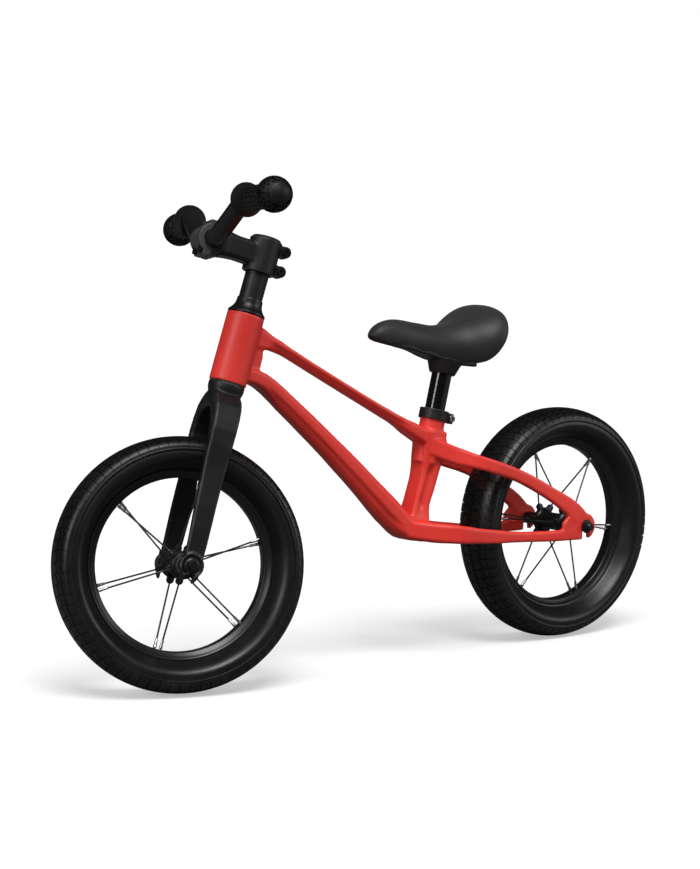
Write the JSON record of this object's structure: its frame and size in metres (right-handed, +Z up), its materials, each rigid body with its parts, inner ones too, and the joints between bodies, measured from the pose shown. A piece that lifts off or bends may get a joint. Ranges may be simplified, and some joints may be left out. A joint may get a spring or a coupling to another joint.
{
  "type": "balance bike",
  "caption": "Child's balance bike with a cast frame, steering fork, spoked wheels on air tyres, padded saddle on a sliding post and riser handlebar.",
  "frame": {"origin": "on the ground under the middle of the bike's outline", "axes": "+X forward, +Y to the rider's left, +Z up"},
  "size_m": [0.8988, 0.4184, 0.6031],
  "materials": {
    "red_paint": "satin paint over cast light alloy",
    "tyre_rubber": "matte",
    "grip_rubber": "matte",
    "steel": "plated",
    "black_plastic": "matte",
    "saddle_skin": "fine-grained soft skin over foam",
    "black_gloss": "gloss black",
    "grey_alloy": "satin",
    "black_metal": "satin black"
  },
  "bodies": {
    "frame": {"frame": "red_paint", "seat_clamp_collar": "black_metal", "seat_clamp_bolt": "steel", "headset_bearing_lower": "steel", "headset_bearing_upper": "steel", "rear_axle": "black_metal", "rear_axle_nut_left": "black_metal", "rear_axle_nut_right": "black_metal"},
    "steering": {"headset_cover": "black_plastic", "fork": "black_metal", "steerer_top_cap": "black_plastic", "stem": "black_metal", "stem_faceplate": "grey_alloy", "stem_clamp_bolt_1": "steel", "stem_clamp_bolt_2": "steel", "faceplate_bolt_1": "steel", "faceplate_bolt_2": "steel", "front_axle": "black_metal", "front_axle_nut_left": "black_metal", "front_axle_nut_right": "black_metal"},
    "handlebar_group": {"handlebar": "black_metal", "grip_left": "grip_rubber", "grip_right": "grip_rubber"},
    "front_wheel": {"front_tyre": "tyre_rubber", "front_rim": "black_metal", "front_hub": "black_metal", "front_hub_bearing_left": "steel", "front_spoke_left_1": "steel", "front_spoke_left_2": "steel", "front_spoke_left_3": "steel", "front_spoke_left_4": "steel", "front_spoke_left_5": "steel", "front_spoke_left_6": "steel", "front_hub_bearing_right": "steel", "front_spoke_right_1": "steel", "front_spoke_right_2": "steel", "front_spoke_right_3": "steel", "front_spoke_right_4": "steel", "front_spoke_right_5": "steel", "front_spoke_right_6": "steel"},
    "rear_wheel": {"rear_tyre": "tyre_rubber", "rear_rim": "black_metal", "rear_hub": "black_metal", "rear_hub_bearing_left": "steel", "rear_spoke_left_1": "steel", "rear_spoke_left_2": "steel", "rear_spoke_left_3": "steel", "rear_spoke_left_4": "steel", "rear_spoke_left_5": "steel", "rear_spoke_left_6": "steel", "rear_hub_bearing_right": "steel", "rear_spoke_right_1": "steel", "rear_spoke_right_2": "steel", "rear_spoke_right_3": "steel", "rear_spoke_right_4": "steel", "rear_spoke_right_5": "steel", "rear_spoke_right_6": "steel"},
    "seat": {"seat_post": "black_gloss", "saddle_base": "black_plastic", "saddle_cushion": "saddle_skin"}
  },
  "joints": [
    {"name": "steer", "type": "hinge", "parent": "frame", "child": "steering", "pos_m": [0.22167, 0.02166, 0.3961], "axis": [-0.3289, 0, 0.9444], "range_deg": [-68.1, 111.9]},
    {"name": "bar_roll", "type": "hinge", "parent": "steering", "child": "handlebar_group", "pos_m": [0.24223, -0.00333, 0.52609], "axis": [0.3522, 0.9278, 0.1227], "range_deg": [-25, 25]},
    {"name": "front_wheel_spin", "type": "hinge", "parent": "steering", "child": "front_wheel", "pos_m": [0.30557, 0.02166, 0.15], "axis": [0.3522, 0.9278, 0.1227], "continuous": true},
    {"name": "rear_wheel_spin", "type": "hinge", "parent": "frame", "child": "rear_wheel", "pos_m": [-0.29943, 0.02166, 0.15], "axis": [0, 1, 0], "continuous": true},
    {"name": "seat_height", "type": "slide", "parent": "frame", "child": "seat", "axis": [-0.2504, 0, 0.9681], "range_m": [-0.008, 0.02]}
  ]
}
